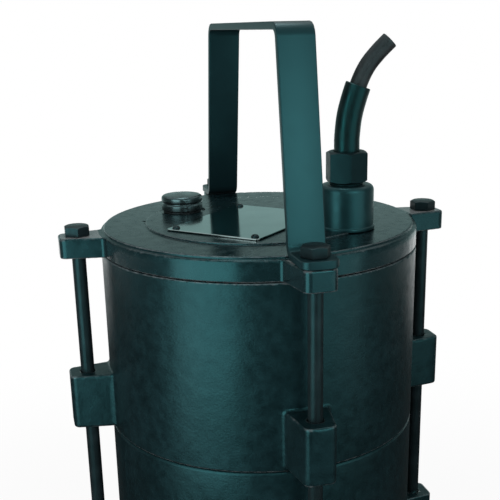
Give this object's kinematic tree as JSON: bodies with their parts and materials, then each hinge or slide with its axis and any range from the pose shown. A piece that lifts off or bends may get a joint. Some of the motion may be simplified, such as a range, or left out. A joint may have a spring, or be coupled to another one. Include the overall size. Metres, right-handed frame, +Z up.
{
  "type": "submersible dewatering pump",
  "caption": "Submersible dewatering pump: round cast body clamped by tie bolts, strap handle, cable gland with a cut cable, slotted strainer and hose tail.",
  "frame": {"origin": "centre of the strainer's closed base, on the floor", "axes": "+Z up along the shaft; the strap handle lies in the YZ plane with its front foot at -Y; tie bolts on the X and Y axes; the discharge points to +X+Y"},
  "size_m": [0.297, 0.3624, 0.5216],
  "materials": {
    "paint": "dark teal semi-gloss paint on castings and bent bar",
    "dark_steel": "blackened steel",
    "steel": "bare machined steel",
    "rubber": "black rubber",
    "plate": "bare satin sheet",
    "lamination": "stacked electrical steel",
    "copper": "varnished copper winding",
    "ceramic": "ground ceramic",
    "iron": "bare cast iron",
    "fibre": "pressed fibre sheet",
    "brass": "turned brass"
  },
  "bodies": {
    "pump_body": {"strainer": "dark_steel", "wear_plate": "iron", "volute_casing": "paint", "strainer_bolt_1": "steel", "strainer_bolt_2": "steel", "strainer_bolt_3": "steel", "discharge_gasket": "fibre", "discharge_bend": "paint", "discharge_bolt_1": "steel", "discharge_bolt_2": "steel", "discharge_bolt_3": "steel", "discharge_bolt_4": "steel", "hose_tail": "steel", "casing_gasket": "fibre", "seal_plate": "paint", "lower_housing": "paint", "oil_plug": "brass", "motor_housing": "paint", "housing_seal": "rubber", "stator_core": "lamination", "upper_winding": "copper", "lower_winding": "copper", "upper_bearing_outer_ring": "steel", "lower_bearing_outer_ring": "steel", "bearing_retainer": "iron", "lower_seal_seat": "ceramic", "upper_seal_seat": "ceramic", "top_cover": "paint", "cover_seal": "rubber", "rating_plate": "plate", "test_plug_washer": "rubber", "test_plug": "rubber", "gland_body": "paint", "gland_bush": "rubber", "gland_nut": "paint", "power_cable": "rubber", "cable_sleeve": "rubber", "lifting_handle": "paint", "tie_bolt_right": "dark_steel", "tie_bolt_rear": "dark_steel", "tie_bolt_left": "dark_steel", "tie_bolt_front": "dark_steel", "tie_nut_right": "dark_steel", "tie_nut_rear": "dark_steel", "tie_nut_left": "dark_steel", "tie_nut_front": "dark_steel"},
    "rotor": {"shaft": "steel", "rotor_core": "lamination", "impeller_key": "steel", "upper_bearing_inner_ring": "steel", "upper_bearing_balls": "steel", "lower_bearing_inner_ring": "steel", "lower_bearing_balls": "steel", "shaft_seal_unit": "steel", "impeller": "iron", "impeller_washer": "steel", "impeller_nut": "steel"}
  },
  "joints": [
    {"name": "rotor_spin", "type": "hinge", "parent": "pump_body", "child": "rotor", "pos_m": [0, 0, 0.0976], "axis": [0, 0, 1], "continuous": true}
  ]
}
